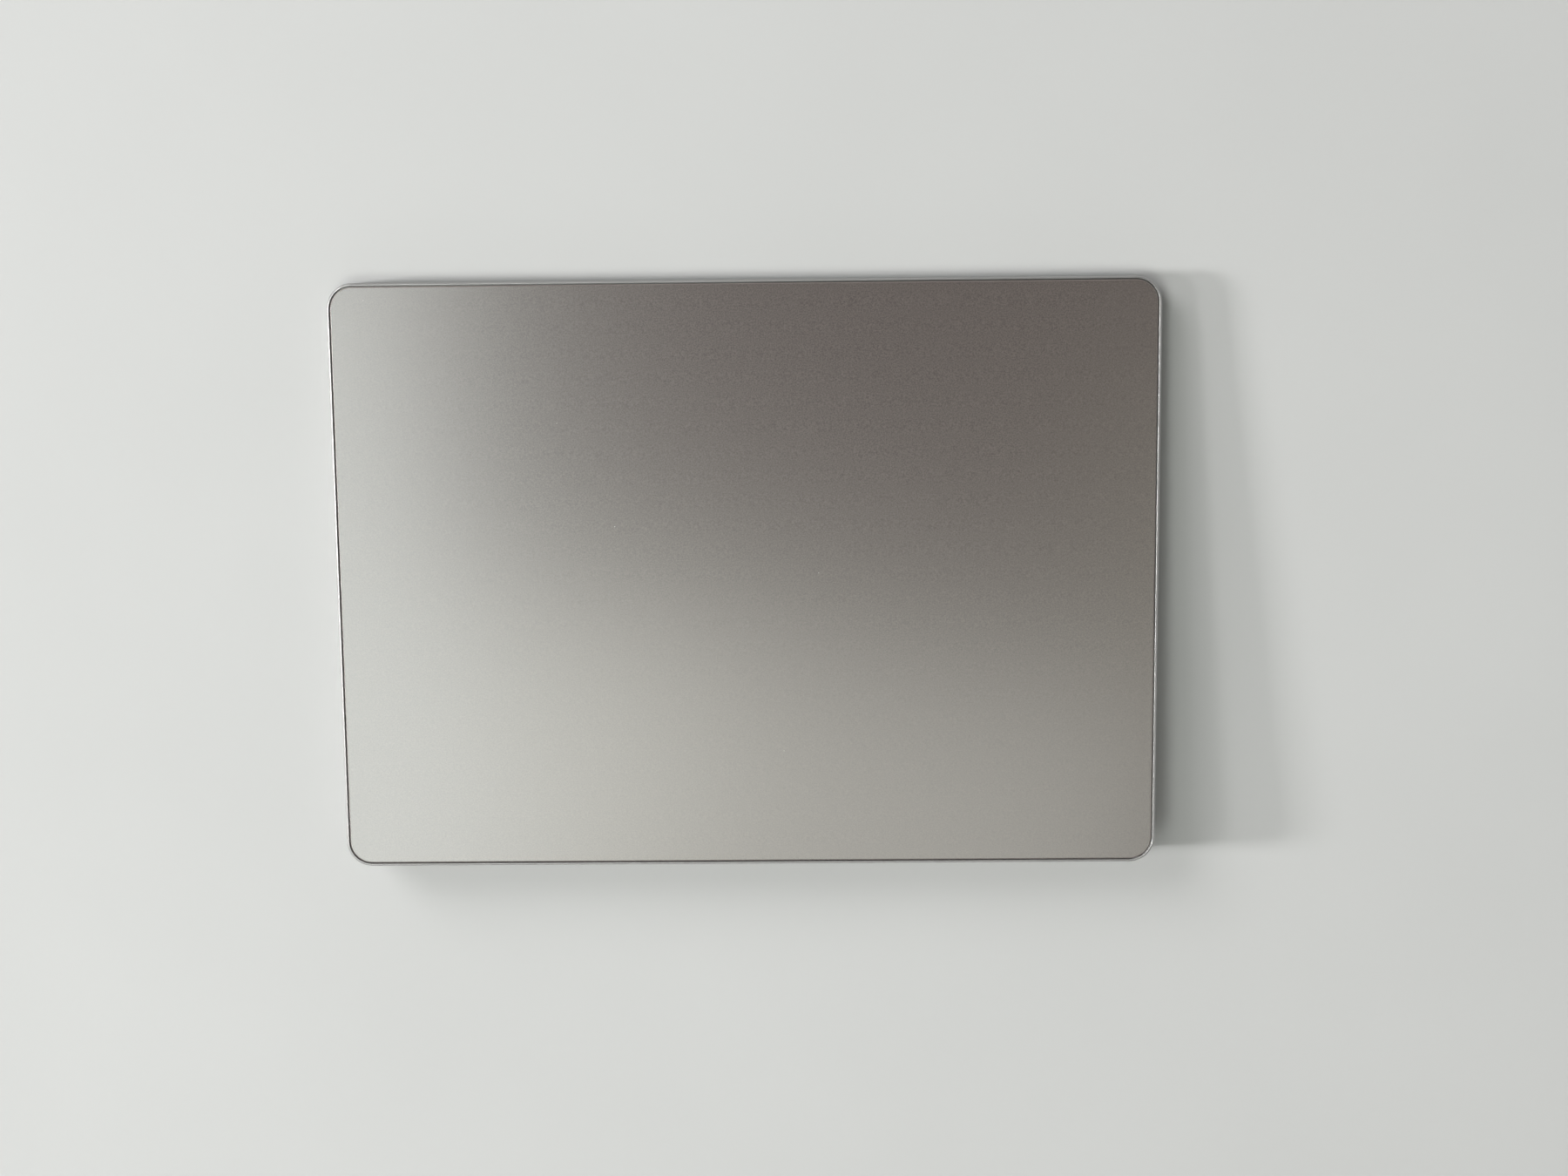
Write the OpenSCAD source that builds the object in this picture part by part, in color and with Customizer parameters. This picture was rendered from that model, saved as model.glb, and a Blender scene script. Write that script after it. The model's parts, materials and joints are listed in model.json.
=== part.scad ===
// Wireless desk trackpad: a wedge-shaped metal shell with a frosted glass touch plate that floats
// on four sprung force pads, a sideways haptic actuator, a battery, a main board with a charging
// socket, and a sliding power switch in the rear wall.
// Everything above the base cover is laid out in the frame of the touch face: x runs across the pad,
// v runs up the slope from the front to the rear, and depths are measured straight down into the pad.

/* [Pad] */
// Width of the touch face
pad_w = 160; // [150:0.5:180]
// Depth of the touch face along its slope
pad_d = 114.9; // [110:0.1:130]
// Height of the touch face above the table at its front edge
front_h = 4.9; // [4.8:0.1:6]
// Height of the touch face above the table at its rear edge
rear_h = 10.9; // [10.7:0.1:14]
// Radius of the pad's four corners
corner_r = 5; // [4:0.1:8]

/* [Shell] */
// Width of the metal rim that shows round the glass
lip_w = 0.45; // [0.4:0.05:1]
// Chamfer on the outer edge of the rim
rim_chamfer = 0.3; // [0.1:0.05:0.35]
// Thickness of the shell's side walls below the glass
wall_t = 2.4; // [2.2:0.1:3]
// Thickness of the floor between the touch plate and the bays
floor_t = 0.5; // [0.4:0.05:0.7]
// Room between the walls of the bays and the battery and boards in them
bay_gap = 0.8; // [0.5:0.1:1.2]

/* [Touch plate] */
// Thickness of the glass
glass_t = 0.8; // [0.6:0.05:1]
// Chamfer on the top edge of the glass
glass_chamfer = 0.15; // [0.05:0.05:0.25]
// Gap between the glass and the rim
glass_gap = 0.25; // [0.2:0.05:0.5]
// Thickness of the bonding sheet under the glass
bond_t = 0.1; // [0.05:0.05:0.15]
// Thickness of the touch sensor board
sensor_t = 0.5; // [0.4:0.05:0.7]
// Distance from the edge of the glass to the edge of the sensor board
sensor_inset = 3.2; // [2.6:0.1:5]

/* [Force sensing] */
// Thickness of the gel pads between the flexures and the sensor board
gel_t = 0.8; // [0.7:0.05:1]
// Radius of a gel pad
gel_r = 3.2; // [2.5:0.1:3.6]
// Distance from the side of the pad to the centre of a gel pad
gel_inset_x = 14; // [12:0.5:18]
// Distance from the front or rear edge of the pad to the centre of a gel pad
gel_inset_v = 11; // [9.5:0.5:13]
// Thickness of a flexure
flexure_t = 0.4; // [0.3:0.05:0.5]
// Length of a flexure
flexure_l = 26; // [24:0.5:30]
// Width of a flexure
flexure_d = 8; // [7.6:0.1:9]
// Room under a flexure for it to bend into
flex_gap = 0.3; // [0.25:0.05:0.4]

/* [Haptic actuator] */
// Length of the actuator's core and armature
haptic_l = 56; // [50:1:62]
// Number of wound teeth on the core
tooth_n = 4; // [3:1:5]
// Height of a tooth
tooth_h = 1.6; // [1.2:0.1:1.8]
// Length of a tooth from the core's back bar
tooth_l = 4.5; // [4:0.1:6]
// Air gap between the teeth and the armature
air_gap = 0.4; // [0.3:0.05:0.6]
// Thickness of a coil's winding
coil_t = 0.5; // [0.4:0.05:0.6]
// Thickness of the actuator's bracket
bracket_t = 0.5; // [0.4:0.05:0.7]

/* [Battery] */
// Width of the battery cell
battery_w = 112; // [90:1:126]
// Depth of the battery cell
battery_d = 30; // [24:0.5:33]
// Thickness of the strips that bond the cell to the floor
glue_t = 0.2; // [0.15:0.05:0.3]

/* [Main board] */
// Distance from the side of the pad to the end of the main board
main_inset = 19.5; // [19:0.5:22]
// Depth of the main board
main_d = 15; // [14.5:0.1:16]
// Thickness of the main board
main_t = 0.8; // [0.6:0.1:1]

/* [Charging socket] */
// Outer width of the socket's metal shell
port_w = 8.94; // [8.9:0.01:9.2]
// Outer height of the socket's metal shell
port_h = 3.16; // [3.1:0.01:3.3]
// Length of the socket's metal shell
port_l = 7.3; // [7:0.1:8]
// Thickness of the socket's metal shell
port_t = 0.3; // [0.2:0.05:0.35]

/* [Power switch] */
// Distance from the side of the pad to the middle of the switch
switch_inset = 34; // [32:0.5:38]
// Length of the slider that shows in the rear wall
slider_l = 4.4; // [4:0.1:6]
// Height of the slider that shows in the rear wall
slider_h = 2; // [1.8:0.1:2.4]
// Travel of the slider from off to on
slider_travel = 2.4; // [2:0.1:3]

/* [Base] */
// Height that the rubber feet stand out below the base cover
foot_h = 0.5; // [0.4:0.05:0.7]
// Radius of a rubber foot
foot_r = 4.5; // [3.5:0.1:5]
// Distance from the edges of the pad to the centre of a rubber foot
foot_inset = 11.5; // [10:0.5:12]
// Thickness of the base cover
cover_t = 0.8; // [0.75:0.05:0.9]
// Distance from the outside of the shell to the edge of the base cover's recess
cover_inset = 1; // [0.8:0.1:1.2]
// Thickness of the adhesive seal round the base cover
seal_t = 0.1; // [0.05:0.05:0.15]

/* [Hidden] */
$fn = 48;

// Clearances
fit = 0.15;            // between pieces that drop into each other
slide_fit = 0.1;       // round the sliding switch pieces
travel_room = 0.4;     // kept clear under the glass so that the plate can be pressed
overlap = 0.5;         // how far a cutting shape runs past the face that it cuts
deep = 30;             // a cut that runs out through the bottom of the shell

// The slope of the touch face, and the shift that centres the leaning shell over the origin
tilt = asin((rear_h - front_h) / pad_d);
mid_h = (front_h + rear_h) / 2;
lean = (rear_h - foot_h) * tan(tilt);

// Depths below the touch face
board_top = glass_t + bond_t;
under_board = board_top + sensor_t;
flexure_top = under_board + gel_t;
floor_top = flexure_top + flexure_t + flex_gap;
ceiling = floor_top + floor_t;
glass_pocket = glass_t + travel_room;

// The main board hangs low enough for the charging socket to stand on it
port_room = 0.4;
standoff_h = port_h + port_room;
main_top = ceiling + standoff_h;

// Heights above the table
cover_top = foot_h + cover_t;
shell_underside = cover_top + seal_t;

// Inner face of the shell's rear wall
rear_v = pad_d / 2 - wall_t;

// Places along the slope, worked forward from the rear wall
board_gap = 1.3;
main_w = pad_w - 2 * main_inset;
main_v1 = rear_v - board_gap;
main_v0 = main_v1 - main_d;
flex_lane = 3;
battery_v1 = main_v0 - flex_lane;
battery_v0 = battery_v1 - battery_d;
bay_v0 = battery_v0 - bay_gap;

// The screws, all of one small size
screw_r = 0.6;
screw_hole_r = 0.7;
head_r = 1.1;
head_h = 0.35;
thread_l = 0.7;

// Places a child in the frame of the touch face
module tilted() {
    translate([0, -lean / 2, mid_h]) rotate([tilt, 0, 0]) children();
}

// Height above the table of a point at v and depth in the touch face's frame
function height_at(v, depth) = mid_h + v * sin(tilt) - depth * cos(tilt);

// Where the middle of the leaning shell is at a height above the table
function shell_y(z) = (mid_h - z) * tan(tilt) - lean / 2;

// A rectangle with round corners, centred
module rounded_rect(w, d, r) {
    square([w - 2 * r, d], center = true);
    square([w, d - 2 * r], center = true);
    for (x = [-1, 1], y = [-1, 1])
        translate([x * (w / 2 - r), y * (d / 2 - r)]) circle(r);
}

// A slot with round ends, centred
module stadium(l, h) {
    square([l - h, h], center = true);
    for (x = [-1, 1]) translate([x * (l - h) / 2, 0]) circle(d = h);
}

// A box between two corners in the touch face's frame, from a smaller depth to a larger one
module slab(x0, x1, v0, v1, depth0, depth1) {
    translate([x0, v0, -depth1]) cube([x1 - x0, v1 - v0, depth1 - depth0]);
}

// A rounded plate from a smaller depth to a larger one
module plate(w, d, r, depth0, depth1) {
    translate([0, 0, -depth1]) linear_extrude(depth1 - depth0) rounded_rect(w, d, r);
}

// The sloping band of a chamfer of size c on top of a rounded plate
module chamfer_band(w, d, r, c) {
    rotate([90, 0, 90]) linear_extrude(w - 2 * r, center = true)
        polygon([[-d / 2, 0], [d / 2, 0], [d / 2 - c, c], [c - d / 2, c]]);
    rotate([90, 0, 0]) linear_extrude(d - 2 * r, center = true)
        polygon([[-w / 2, 0], [w / 2, 0], [w / 2 - c, c], [c - w / 2, c]]);
    for (x = [-1, 1], y = [-1, 1])
        translate([x * (w / 2 - r), y * (d / 2 - r), 0]) cylinder(h = c, r1 = r, r2 = r - c);
}

// A rounded plate whose top edge is chamfered, with its top at depth 0
module chamfered_plate(w, d, r, t, c) {
    translate([0, 0, -t]) linear_extrude(t - c) rounded_rect(w, d, r);
    translate([0, 0, -c]) chamfer_band(w, d, r, c);
}

// A round-headed screw that points down from the surface under its head
module screw(l) {
    cylinder(r = head_r, h = head_h);
    translate([0, 0, -l]) cylinder(r = screw_r, h = l);
}

// A quarter of a flat ring, for the bends of the flexes
module quarter_ring(inner_r, outer_r, turn) {
    rotate(turn) intersection() {
        difference() {
            circle(outer_r);
            circle(inner_r);
        }
        square(outer_r);
    }
}

// A flat flex that runs along v, bends down, drops, and bends to run along v again.
// It is drawn in v and height, with the start of its upper face at the origin.
module flex_profile(run, drop, tail, t, bend_r) {
    down_v = run + bend_r;
    tail_v = down_v + t + bend_r;
    translate([0, -t]) square([run, t]);
    translate([run, -t - bend_r]) quarter_ring(bend_r, bend_r + t, 0);
    translate([down_v, bend_r - drop]) square([t, drop - 2 * bend_r - t]);
    translate([tail_v, bend_r - drop]) quarter_ring(bend_r, bend_r + t, 180);
    translate([tail_v, -drop - t]) square([tail, t]);
}

// Extrudes a profile drawn in v and height across x
module across(x, w) {
    translate([x - w / 2, 0, 0]) rotate([90, 0, 90]) linear_extrude(w) children();
}

// The glass and the boards of the touch plate
glass_w = pad_w - 2 * (lip_w + glass_gap);
glass_d = pad_d - 2 * (lip_w + glass_gap);
glass_r = corner_r - lip_w - glass_gap;
sensor_w = glass_w - 2 * sensor_inset;
sensor_d = glass_d - 2 * sensor_inset;
sensor_r = 2;

module glass_surface() {
    color("dimgray") tilted() chamfered_plate(glass_w, glass_d, glass_r, glass_t, glass_chamfer);
}

module bonding_sheet() {
    color("lightsteelblue") tilted() plate(sensor_w, sensor_d, sensor_r, glass_t, board_top);
}

module sensor_board() {
    color("darkgreen") tilted() plate(sensor_w, sensor_d, sensor_r, board_top, under_board);
}

// The chip that reads the touch electrodes, and the small parts round it
chip_size = 8;
chip_t = 0.8;
chip_x = -30;
chip_v = 26;
chip_gap = 1.6;
chip_passives = 5;

module touch_controller() {
    color("black") tilted()
        slab(chip_x - chip_size / 2, chip_x + chip_size / 2, chip_v - chip_size / 2, chip_v + chip_size / 2,
             under_board, under_board + chip_t);
}

passive_l = 1.2;
passive_d = 0.7;
passive_t = 0.5;
passive_pitch = 1.8;

// A row of small parts on the face of a board, from a depth downwards or upwards
module passive_row(x, v, count, depth0, depth1) {
    for (i = [0 : count - 1])
        slab(x + i * passive_pitch, x + i * passive_pitch + passive_d, v, v + passive_l, depth0, depth1);
}

module sensor_passives() {
    color("tan") tilted() for (side = [-1, 1])
        passive_row(chip_x - chip_size / 2, chip_v + side * (chip_size / 2 + chip_gap) - passive_l / 2,
                    chip_passives, under_board, under_board + passive_t);
}

// The four force flexures, named by their side and end of the pad
gel_x = pad_w / 2 - gel_inset_x;
gel_v = pad_d / 2 - gel_inset_v;
flexure_edge = 1;
flexure_tip = gel_x + gel_r + flexure_edge;
flexure_root = flexure_tip - flexure_l;
anchor_l = 6;
anchor_screw_x = flexure_root + anchor_l / 2;
anchor_screw_v = 2.6;

module at_flexures() {
    for (x = [0, 1], v = [-1, 1]) mirror([x, 0, 0]) translate([0, v * gel_v, 0]) children();
}

module at_flexure_screws() {
    at_flexures() for (v = [-1, 1]) translate([anchor_screw_x, v * anchor_screw_v, 0]) children();
}

module gel_pads() {
    color("lightblue") tilted() at_flexures()
        translate([gel_x, 0, -flexure_top]) cylinder(r = gel_r, h = gel_t);
}

module force_flexures() {
    color("silver") tilted() difference() {
        at_flexures()
            slab(flexure_root, flexure_tip, -flexure_d / 2, flexure_d / 2,
                 flexure_top, flexure_top + flexure_t);
        at_flexure_screws()
            translate([0, 0, -floor_top]) cylinder(r = screw_hole_r, h = floor_top);
    }
}

module flexure_screws() {
    color("gray") tilted() at_flexure_screws()
        translate([0, 0, -flexure_top]) screw(flexure_t + flex_gap + floor_t - fit);
}

// The strain gauge films on the bending part of the flexures
gauge_l = 6;
gauge_d = 4;
gauge_t = 0.1;
gauge_gap = 1;
gauge_x0 = flexure_root + anchor_l + gauge_gap;

module strain_gauges() {
    color("orange") tilted() at_flexures()
        slab(gauge_x0, gauge_x0 + gauge_l, -gauge_d / 2, gauge_d / 2, flexure_top - gauge_t, flexure_top);
}

// The flexes that gather the gauges' signals: a tail from each gauge steps down to the floor, and a
// strip joins the front tail to the rear one, with a branch that drops through the floor to the main board
gauge_flex_t = 0.12;
gauge_tail_d = 2;
gauge_strip_w = 4;
gauge_strip_gap = 1.5;
gauge_strip_x = flexure_root - gauge_strip_gap - gauge_strip_w / 2;
gauge_drop_w = 2.4;
gauge_drop_x = gauge_strip_x - (gauge_strip_w - gauge_drop_w) / 2;
gauge_rear_w = 1;

module gauge_tail() {
    step_x = flexure_root - fit;
    slab(step_x - gauge_flex_t, gauge_x0, -gauge_tail_d / 2, gauge_tail_d / 2,
         flexure_top - gauge_flex_t, flexure_top);
    slab(step_x - gauge_flex_t, step_x, -gauge_tail_d / 2, gauge_tail_d / 2,
         flexure_top - gauge_flex_t, floor_top);
    slab(gauge_strip_x, step_x, -gauge_tail_d / 2, gauge_tail_d / 2, floor_top - gauge_flex_t, floor_top);
}

module gauge_flexes() {
    color("peru") tilted() for (side = [0, 1]) mirror([side, 0, 0]) {
        for (v = [-1, 1]) translate([0, v * gel_v, 0]) gauge_tail();
        slab(gauge_strip_x - gauge_strip_w / 2, gauge_strip_x + gauge_strip_w / 2,
             -gel_v - gauge_tail_d / 2, drop_v - 2 * drop_slot, floor_top - gauge_flex_t, floor_top);
        across(gauge_drop_x, gauge_drop_w)
            translate([drop_v - 3 * drop_slot, gauge_flex_t - floor_top])
                flex_profile(3 * drop_slot - drop_bend_r - gauge_flex_t / 2,
                             socket_entry - floor_top + gauge_flex_t / 2, drop_tail,
                             gauge_flex_t, drop_bend_r);
        slab(gauge_strip_x + gauge_strip_w / 2 - gauge_rear_w, gauge_strip_x + gauge_strip_w / 2,
             drop_v - 3 * drop_slot, gel_v + gauge_tail_d / 2, floor_top - gauge_flex_t, floor_top);
    }
}

// The lane behind the battery where the flexes drop to the sockets on the main board
drop_gap = 1;
drop_v = main_v0 - drop_gap;
drop_slot = 1;
slot_room = 0.3;
drop_bend_r = 0.3;
drop_tail = 3.4;
socket_d = 4;
socket_h = 1.2;
socket_slit = 0.36;
socket_gap = 2.2;
socket_v0 = drop_v + socket_gap;
socket_entry = main_top - socket_h / 2;

// The sensor board's ribbon and the connector that it plugs into
ribbon_w = 8;
ribbon_x = 22;
ribbon_t = 0.2;
connector_h = 0.9;
connector_d = 4;
connector_gap = 2;
connector_v1 = drop_v - connector_gap;
connector_entry = under_board + connector_h / 2;
connector_room = 0.2;
connector_end = 1;

module sensor_connector() {
    slit_w = ribbon_w + 2 * connector_room;
    slit_h = ribbon_t + 2 * connector_room;
    color("ivory") tilted() difference() {
        slab(ribbon_x - ribbon_w / 2 - connector_end, ribbon_x + ribbon_w / 2 + connector_end,
             connector_v1 - connector_d, connector_v1, under_board, under_board + connector_h);
        slab(ribbon_x - slit_w / 2, ribbon_x + slit_w / 2,
             connector_v1 - connector_d / 2 - connector_room, connector_v1 + overlap,
             connector_entry - slit_h / 2, connector_entry + slit_h / 2);
    }
}

module sensor_ribbon() {
    start_v = connector_v1 - connector_d / 2;
    color("peru") tilted() across(ribbon_x, ribbon_w)
        translate([start_v, ribbon_t / 2 - connector_entry])
            flex_profile(drop_v - drop_bend_r - ribbon_t / 2 - start_v, socket_entry - connector_entry,
                         drop_tail, ribbon_t, drop_bend_r);
}

// The haptic actuator: wound teeth on a back bar pull the armature, which hangs from the sensor board
armature_d = 3;
core_back_d = 3;
tooth_w = haptic_l / tooth_n * 0.42;
tooth_pitch = haptic_l / tooth_n;
coil_inset = 0.6;
coil_d = tooth_l - 2 * coil_inset;
bobbin_t = 0.3;
haptic_room = 0.8;
haptic_gap = 1.2;
armature_v1 = bay_v0 - haptic_room - haptic_gap;
armature_v0 = armature_v1 - armature_d;
tooth_v1 = armature_v0 - air_gap;
core_v1 = tooth_v1 - tooth_l;
core_v0 = core_v1 - core_back_d;
coil_v0 = core_v1 + (tooth_l - coil_d) / 2;
coil_out = coil_t + bobbin_t;
coil_top = under_board + travel_room;
tooth_mid = coil_top + coil_out + tooth_h / 2;
web_top = tooth_mid + tooth_h / 2 + coil_out + fit / 2;
window_w = haptic_l + 2 * haptic_room;
flange_l = 7;
bracket_w = window_w + 2 * flange_l;

module at_teeth() {
    for (i = [0 : tooth_n - 1]) translate([(i + 0.5) * tooth_pitch - haptic_l / 2, 0, 0]) children();
}

// A ring round a tooth, between two distances from the tooth's faces
module tooth_ring(near, far, start, length) {
    translate([0, coil_v0 + start + length, -tooth_mid]) rotate([90, 0, 0])
        linear_extrude(length) difference() {
            square([tooth_w + 2 * far, tooth_h + 2 * far], center = true);
            square([tooth_w + 2 * near, tooth_h + 2 * near], center = true);
        }
}

module haptic_armature() {
    color("slategray") tilted()
        slab(-haptic_l / 2, haptic_l / 2, armature_v0, armature_v1, under_board, tooth_mid + tooth_h / 2);
}

module haptic_core() {
    color("darkslategray") tilted() {
        slab(-haptic_l / 2, haptic_l / 2, core_v0, core_v1, tooth_mid - tooth_h / 2, web_top);
        at_teeth() slab(-tooth_w / 2, tooth_w / 2, core_v1 - overlap, tooth_v1,
                        tooth_mid - tooth_h / 2, tooth_mid + tooth_h / 2);
    }
}

module haptic_bobbins() {
    color("white") tilted() at_teeth() {
        tooth_ring(0, bobbin_t, -bobbin_t, coil_d + 2 * bobbin_t);
        for (start = [-bobbin_t, coil_d]) tooth_ring(0, coil_out, start, bobbin_t);
    }
}

module haptic_coils() {
    color("chocolate") tilted() at_teeth() tooth_ring(bobbin_t, coil_out, 0, coil_d);
}

// The bracket hangs under the floor: two flanges screwed to it, two risers and a web under the core
bracket_v0 = core_v0;
bracket_v1 = tooth_v1;
bracket_screw_x = bracket_w / 2 - flange_l / 2;
bracket_screw_v = (bracket_v1 - bracket_v0) / 4;
bracket_mid_v = (bracket_v0 + bracket_v1) / 2;

module at_bracket_screws() {
    for (x = [-1, 1], v = [-1, 1])
        translate([x * bracket_screw_x, bracket_mid_v + v * bracket_screw_v, 0]) children();
}

module haptic_bracket() {
    riser_x = window_w / 2 - bracket_t;
    color("silver") tilted() difference() {
        union() {
            slab(-riser_x - bracket_t, riser_x + bracket_t, bracket_v0, bracket_v1,
                 web_top, web_top + bracket_t);
            for (side = [0, 1]) mirror([side, 0, 0]) {
                slab(riser_x, riser_x + bracket_t, bracket_v0, bracket_v1, ceiling, web_top + bracket_t);
                slab(riser_x, bracket_w / 2, bracket_v0, bracket_v1, ceiling, ceiling + bracket_t);
            }
        }
        at_bracket_screws() translate([0, 0, -ceiling - bracket_t - overlap])
            cylinder(r = screw_hole_r, h = bracket_t + 2 * overlap);
    }
}

module bracket_screws() {
    color("gray") tilted() at_bracket_screws()
        translate([0, 0, -ceiling - bracket_t]) rotate([180, 0, 0]) screw(bracket_t + floor_t - fit);
}

// The lead from the coils runs along the bracket and under the armature, rises to the ceiling of the
// bay, and runs between the strips under the battery to the drop
lead_w = 5;
lead_t = 0.12;
lead_start = coil_v0;
lead_gap = 0.3;
lead_tail = 1;
lead_rise = armature_v1 + haptic_room + lead_gap;

module haptic_lead() {
    color("peru") tilted() across(0, lead_w) {
        translate([lead_start, -web_top]) mirror([0, 1])
            flex_profile(lead_rise - drop_bend_r - lead_start, web_top - ceiling - lead_t, lead_tail,
                         lead_t, drop_bend_r);
        translate([lead_rise + drop_bend_r + lead_t, -ceiling])
            flex_profile(drop_v - lead_rise - 2 * drop_bend_r - 1.5 * lead_t,
                         socket_entry - ceiling - lead_t / 2, drop_tail, lead_t, drop_bend_r);
    }
}

// The battery cell fills the bay's height at its front edge, less room to swell
swell_room = 0.35;
battery_r = 1.5;
guard_w = 5;
battery_x0 = -(battery_w + guard_w) / 2;
battery_x1 = battery_x0 + battery_w;
battery_top = ceiling + glue_t;
battery_t = (mid_h + battery_v0 * sin(tilt) - cover_top - swell_room) / cos(tilt) - battery_top;
glue_edge = 4;
glue_gap = 1;

module battery_cell() {
    color("whitesmoke") tilted()
        translate([(battery_x0 + battery_x1) / 2, (battery_v0 + battery_v1) / 2, 0])
            plate(battery_w, battery_d, battery_r, battery_top, battery_top + battery_t);
}

module battery_glue() {
    color("gold") tilted() {
        slab(battery_x0 + glue_edge, -lead_w / 2 - glue_gap, battery_v0 + glue_edge, battery_v1 - glue_edge,
             ceiling, battery_top);
        slab(lead_w / 2 + glue_gap, battery_x1 - glue_edge, battery_v0 + glue_edge, battery_v1 - glue_edge,
             ceiling, battery_top);
    }
}

// The cell's protection board is at its end. The lead from it turns along the lane behind the cell,
// and drops to its socket on the main board.
guard_t = 0.8;
guard_edge = 1;
guard_top = battery_top + battery_t / 2 - guard_t / 2;
battery_lead_w = 4;
battery_lead_t = 0.2;
battery_lead_x = battery_x1 + guard_w / 2;
battery_lead_grip = 5;
battery_lead_start = battery_v1 - guard_edge - battery_lead_grip;
lane_edge = 0.2;
lane_v0 = battery_v1 + lane_edge;
lane_v1 = drop_v - drop_bend_r - battery_lead_t / 2;

module battery_guard_board() {
    color("darkgreen") tilted()
        slab(battery_x1, battery_x1 + guard_w, battery_v0 + glue_edge, battery_v1 - guard_edge,
             guard_top, guard_top + guard_t);
}

module battery_lead() {
    half = battery_lead_w / 2;
    color("firebrick") tilted() {
        slab(battery_lead_x - half, battery_lead_x + half, battery_lead_start, lane_v1,
             guard_top - battery_lead_t, guard_top);
        slab(min(battery_lead_x, battery_socket_x) - half, max(battery_lead_x, battery_socket_x) + half,
             lane_v0, lane_v1, guard_top - battery_lead_t, guard_top);
        across(battery_socket_x, battery_lead_w) translate([lane_v0, battery_lead_t - guard_top])
            flex_profile(lane_v1 - lane_v0, socket_entry - guard_top + battery_lead_t / 2, drop_tail,
                         battery_lead_t, drop_bend_r);
    }
}

// The main board hangs on four posts
post_r = 1.6;
post_edge = 2.4;
post_gap = 1.2;
socket_end = 1;
battery_socket_x = main_w / 2 - post_edge - post_r - post_gap - socket_end - battery_lead_w / 2;

module at_posts() {
    for (x = [-1, 1], v = [main_v0 + post_edge, main_v1 - post_edge])
        translate([x * (main_w / 2 - post_edge), v, 0]) children();
}

module main_board() {
    color("darkgreen") tilted() difference() {
        slab(-main_w / 2, main_w / 2, main_v0, main_v1, main_top, main_top + main_t);
        at_posts() translate([0, 0, -main_top - main_t - overlap])
            cylinder(r = screw_hole_r, h = main_t + 2 * overlap);
    }
}

module board_screws() {
    color("gray") tilted() at_posts()
        translate([0, 0, -main_top - main_t]) rotate([180, 0, 0]) screw(main_t + thread_l);
}

// A chip of a given size standing on the main board
module board_chip(x, v, w, d, h) {
    slab(x - w / 2, x + w / 2, v - d / 2, v + d / 2, main_top - h, main_top);
}

// The radio under its shield can, at the left of the board
shield_w = 16;
shield_d = 8;
shield_h = 1.6;
shield_t = 0.2;
board_edge = 1;
radio_size = 6;
radio_h = 0.8;
shield_x = post_edge + post_r + board_edge + shield_w / 2 - main_w / 2;
shield_v = main_v1 - board_edge - shield_d / 2;

module radio_shield() {
    inner_w = shield_w - 2 * shield_t;
    inner_d = shield_d - 2 * shield_t;
    color("silver") tilted() difference() {
        board_chip(shield_x, shield_v, shield_w, shield_d, shield_h);
        translate([0, 0, -overlap]) board_chip(shield_x, shield_v, inner_w, inner_d, shield_h - shield_t);
        board_chip(shield_x, shield_v, inner_w, inner_d, shield_h - shield_t);
    }
}

module radio_chip() {
    color("black") tilted() board_chip(shield_x, shield_v, radio_size, radio_size, radio_h);
}

// The controller, the gauge converter, the charger and the haptic driver: how far along each is from
// the shield can to the charging socket, as a share of the way, with its size and its height
logic_chips = [[0.17, 7, 0.9], [0.45, 5, 0.8], [0.67, 4, 0.8], [0.87, 5, 0.9]];
chips_x0 = shield_x + shield_w / 2;
chips_w = -port_w / 2 - board_edge - chips_x0;
passive_gap = 0.8;
chips_v1 = main_v1 - board_edge - passive_l - passive_gap;
passive_count = 3;
port_passive_count = 6;
port_passive_gap = 3;

module logic_chips() {
    color("black") tilted() for (chip = logic_chips)
        board_chip(chips_x0 + chip[0] * chips_w, chips_v1 - chip[1] / 2, chip[1], chip[1], chip[2]);
}

module board_passives() {
    passive_top = main_top - passive_t;
    port_row_x = port_w / 2 + port_passive_gap;
    rear_row_v = main_v1 - board_edge - passive_l;
    color("tan") tilted() {
        for (chip = logic_chips)
            passive_row(chips_x0 + chip[0] * chips_w - chip[1] / 2, rear_row_v, passive_count,
                        passive_top, main_top);
        for (row = [0, 1])
            passive_row(port_row_x, rear_row_v - row * (passive_l + passive_gap), port_passive_count,
                        passive_top, main_top);
    }
}

// The sockets that the flexes plug into, each with a slit for its flex
sockets = [
    [ribbon_x, ribbon_w], [0, lead_w], [battery_socket_x, battery_lead_w],
    [gauge_drop_x, gauge_drop_w], [-gauge_drop_x, gauge_drop_w]
];

module flex_sockets() {
    slit_top = socket_entry - socket_slit / 2;
    color("ivory") tilted() difference() {
        for (s = sockets)
            slab(s[0] - s[1] / 2 - socket_end, s[0] + s[1] / 2 + socket_end, socket_v0, socket_v0 + socket_d,
                 main_top - socket_h, main_top);
        for (s = sockets)
            slab(s[0] - s[1] / 2 - fit, s[0] + s[1] / 2 + fit, socket_v0 - overlap,
                 socket_v0 + socket_d - socket_end, slit_top, slit_top + socket_slit);
    }
}

// The charging socket in the rear wall
port_recess = 0.2;
port_v1 = pad_d / 2 - port_recess;
port_v0 = port_v1 - port_l;
port_mid = main_top - port_h / 2;
tongue_w = 6.69;
tongue_t = 0.7;
tongue_back = 1.4;
tongue_recess = 1;
contact_recess = 1.6;
contact_n = 12;
contact_pitch = 0.5;
contact_w = 0.25;
contact_l = 3.2;
contact_t = 0.06;

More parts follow.
